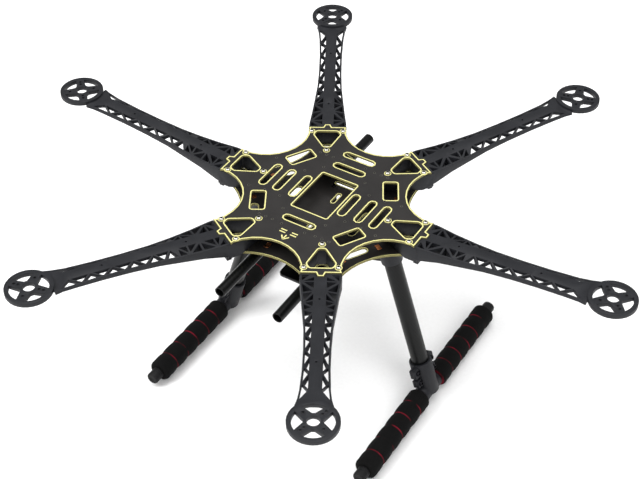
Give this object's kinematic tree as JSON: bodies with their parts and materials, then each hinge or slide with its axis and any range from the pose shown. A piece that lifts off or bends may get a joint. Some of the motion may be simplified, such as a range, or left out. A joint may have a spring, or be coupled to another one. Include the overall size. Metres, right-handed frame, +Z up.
{
  "type": "hexacopter airframe",
  "caption": "Six-arm multirotor airframe with two slotted centre boards, truss arms, accessory rails, a battery tray and a splayed T-skid landing gear.",
  "frame": {"origin": "on the ground under the middle of the airframe, where the foam sleeves rest", "axes": "+Z up, nose towards -Y, +X to the right as seen from the front; node names left and right are as seen from the front, left at -X; arm 6 lies along +X"},
  "size_m": [0.5912, 0.5174, 0.21],
  "materials": {
    "circuit_board": "matt black solder mask with pale gold lines",
    "nylon": "moulded, fine matt grain",
    "carbon": "satin black carbon tube",
    "foam": "closed-cell foam with dark red stripes",
    "rubber": "soft matt rubber",
    "black_steel": "black oxide",
    "bright_steel": "plain steel"
  },
  "bodies": {
    "airframe": {"top_plate": "circuit_board", "bottom_plate": "circuit_board", "arm_1": "nylon", "arm_2": "nylon", "arm_3": "nylon", "arm_4": "nylon", "arm_5": "nylon", "arm_6": "nylon", "arm_screw_1": "bright_steel", "arm_screw_2": "bright_steel", "arm_screw_3": "bright_steel", "arm_screw_4": "bright_steel", "arm_screw_5": "bright_steel", "arm_screw_6": "bright_steel", "battery_tray": "carbon", "tray_standoff_1": "black_steel", "tray_standoff_2": "black_steel", "tray_standoff_3": "black_steel", "tray_standoff_4": "black_steel", "rail_hanger_front_left": "nylon", "rail_hanger_front_right": "nylon", "rail_hanger_rear_left": "nylon", "rail_hanger_rear_right": "nylon", "hanger_bush_front_left": "rubber", "hanger_bush_front_right": "rubber", "hanger_bush_rear_left": "rubber", "hanger_bush_rear_right": "rubber", "leg_socket_left": "nylon", "socket_bolt_left": "black_steel", "leg_socket_right": "nylon", "socket_bolt_right": "black_steel"},
    "rail_left": {"rail_left": "carbon"},
    "rail_right": {"rail_right": "carbon"},
    "leg_left": {"leg_tube_left": "carbon", "tee_inner_left": "nylon", "tee_outer_left": "nylon", "tee_bolt_left_1": "black_steel", "tee_bolt_left_2": "black_steel", "tee_bolt_left_3": "black_steel", "tee_bolt_left_4": "black_steel", "skid_tube_left": "carbon", "foam_front_left": "foam", "foam_rear_left": "foam", "skid_cap_front_left": "rubber", "skid_cap_rear_left": "rubber"},
    "leg_right": {"leg_tube_right": "carbon", "tee_inner_right": "nylon", "tee_outer_right": "nylon", "tee_bolt_right_1": "black_steel", "tee_bolt_right_2": "black_steel", "tee_bolt_right_3": "black_steel", "tee_bolt_right_4": "black_steel", "skid_tube_right": "carbon", "foam_front_right": "foam", "foam_rear_right": "foam", "skid_cap_front_right": "rubber", "skid_cap_rear_right": "rubber"}
  },
  "joints": [
    {"name": "rail_left_slide", "type": "slide", "parent": "airframe", "child": "rail_left", "axis": [0, 1, 0], "range_m": [-0.04, 0.04]},
    {"name": "rail_right_slide", "type": "slide", "parent": "airframe", "child": "rail_right", "axis": [0, 1, 0], "range_m": [-0.04, 0.04]},
    {"name": "leg_left_pull", "type": "slide", "parent": "airframe", "child": "leg_left", "axis": [-0.2924, 0, -0.9563], "range_m": [0, 0.015]},
    {"name": "leg_right_pull", "type": "slide", "parent": "airframe", "child": "leg_right", "axis": [0.2924, 0, -0.9563], "range_m": [0, 0.015]}
  ]
}
